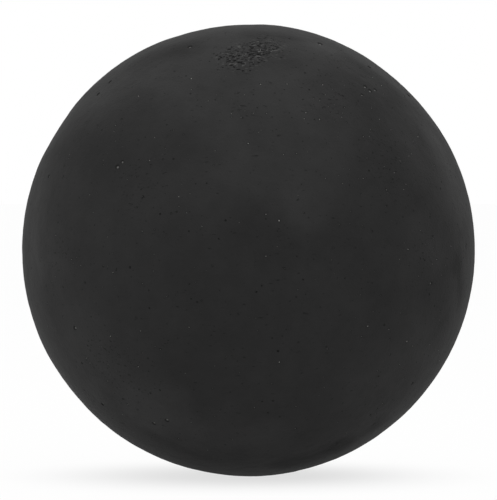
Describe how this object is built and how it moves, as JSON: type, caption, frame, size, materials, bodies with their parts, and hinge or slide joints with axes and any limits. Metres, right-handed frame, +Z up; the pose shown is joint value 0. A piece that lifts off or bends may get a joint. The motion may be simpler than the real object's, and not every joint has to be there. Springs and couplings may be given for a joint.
{
  "type": "squash ball",
  "caption": "Hollow matte black rubber squash ball, two thick half shells cemented edge to edge.",
  "frame": {"origin": "centre of the ball", "axes": "+Z up; the mould axis runs along Y, with the front half shell towards -Y; the seam lies in the XZ plane"},
  "size_m": [0.04, 0.04, 0.04],
  "materials": {
    "buffed_rubber": "matte, finely buffed",
    "rubber_cement": "matte, slightly smoother than the rubber"
  },
  "bodies": {
    "root": {"front_half_shell": "buffed_rubber", "rear_half_shell": "buffed_rubber", "seam_cement": "rubber_cement"}
  },
  "joints": []
}
